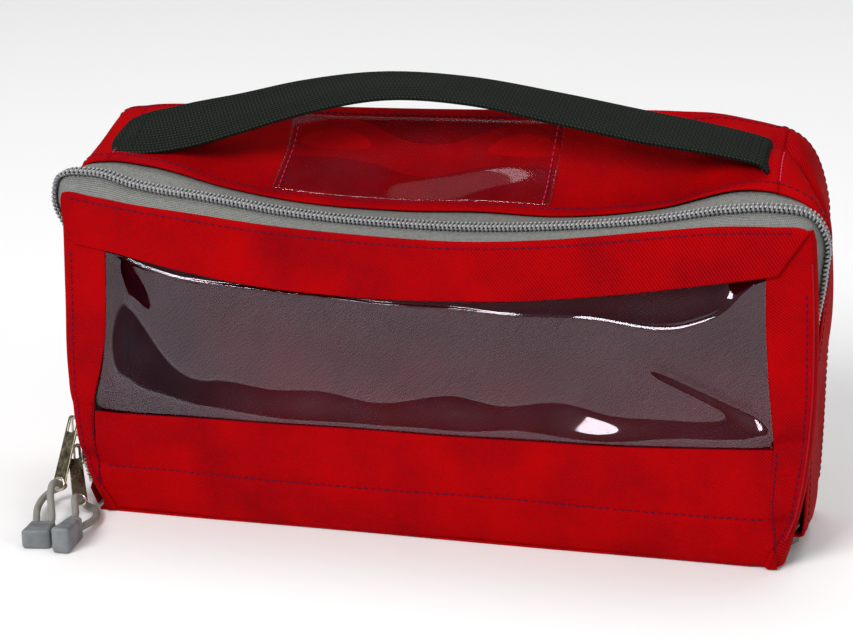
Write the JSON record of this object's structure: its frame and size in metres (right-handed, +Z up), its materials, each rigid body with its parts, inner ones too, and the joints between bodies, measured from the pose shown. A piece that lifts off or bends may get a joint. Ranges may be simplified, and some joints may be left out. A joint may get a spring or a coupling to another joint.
{
  "type": "first aid kit pouch",
  "caption": "Soft red first aid pouch with a clear window in its front flap, a zip over the top and down both sides, two pulls with cord grips, and a webbing carry handle.",
  "frame": {"origin": "centre of the base, on the surface that it stands on", "axes": "+X to the right along the front, +Y to the back, +Z up"},
  "size_m": [0.3176, 0.112, 0.1816],
  "materials": {
    "red_fabric": "coated polyester, fine diagonal weave",
    "clear_film": "clear soft PVC film",
    "grey_tape": "woven zip tape",
    "grey_coil": "moulded nylon coil",
    "nickel": "nickel-plated die casting",
    "grey_cord": "braided cord",
    "grey_grip": "soft moulded grip",
    "black_webbing": "ribbed webbing"
  },
  "bodies": {
    "case": {"back_panel": "red_fabric", "bottom_panel": "red_fabric", "left_side_panel": "red_fabric", "right_side_panel": "red_fabric", "top_panel": "red_fabric", "front_hem": "red_fabric", "label_pocket": "clear_film", "zip_tape_rear": "grey_tape", "zip_coil_rear": "grey_coil", "zip_coil_closed_ends": "grey_coil", "zip_end_stops": "nickel", "handle_end_left": "black_webbing", "handle_end_right": "black_webbing"},
    "flap": {"front_top_band": "red_fabric", "front_bottom_band": "red_fabric", "front_left_band": "red_fabric", "front_right_band": "red_fabric", "front_window": "clear_film", "zip_tape_front": "grey_tape", "zip_coil_front": "grey_coil"},
    "slider_upper": {"slider_upper": "nickel"},
    "pull_tab_upper": {"pull_tab_upper": "nickel"},
    "pull_grip_upper": {"pull_grip_upper": "grey_grip", "pull_cord_upper": "grey_cord"},
    "slider_lower": {"slider_lower": "nickel"},
    "pull_tab_lower": {"pull_tab_lower": "nickel"},
    "pull_grip_lower": {"pull_grip_lower": "grey_grip", "pull_cord_lower": "grey_cord"},
    "handle": {"handle_strap": "black_webbing"}
  },
  "joints": [
    {"name": "front_flap_open", "type": "hinge", "parent": "case", "child": "flap", "pos_m": [0, -0.033, 0.021], "axis": [1, 0, 0], "range_deg": [0, 98]},
    {"name": "slider_upper_travel", "type": "slide", "parent": "case", "child": "slider_upper", "axis": [0, 0, 1], "range_m": [0, 0.076]},
    {"name": "slider_lower_travel", "type": "slide", "parent": "case", "child": "slider_lower", "axis": [0, 0, 1], "range_m": [-0.0015, 0.001]},
    {"name": "pull_tab_upper_lift", "type": "hinge", "parent": "slider_upper", "child": "pull_tab_upper", "pos_m": [-0.1565, -0.021, 0.0325], "axis": [-0.9735, 0.2286, 0], "range_deg": [0, 95]},
    {"name": "pull_tab_lower_lift", "type": "hinge", "parent": "slider_lower", "child": "pull_tab_lower", "pos_m": [-0.1565, -0.021, 0.02], "axis": [0.8902, 0.4556, 0], "range_deg": [-8, 0]},
    {"name": "pull_grip_upper_swing", "type": "hinge", "parent": "pull_tab_upper", "child": "pull_grip_upper", "pos_m": [-0.1592, -0.0325, 0.0104], "axis": [0, 0, -1], "range_deg": [0, 35], "deforming": ["pull_cord_upper"]},
    {"name": "pull_grip_lower_swing", "type": "hinge", "parent": "pull_tab_lower", "child": "pull_grip_lower", "pos_m": [-0.1478, -0.038, 0.006], "axis": [0, 0, 1], "range_deg": [0, 40], "deforming": ["pull_cord_lower"]},
    {"name": "handle_tilt", "type": "hinge", "parent": "case", "child": "handle", "pos_m": [0, 0.008, 0.152], "axis": [1, 0, 0], "range_deg": [-15, 15], "stiffness_Nm_per_rad": 0.02}
  ]
}
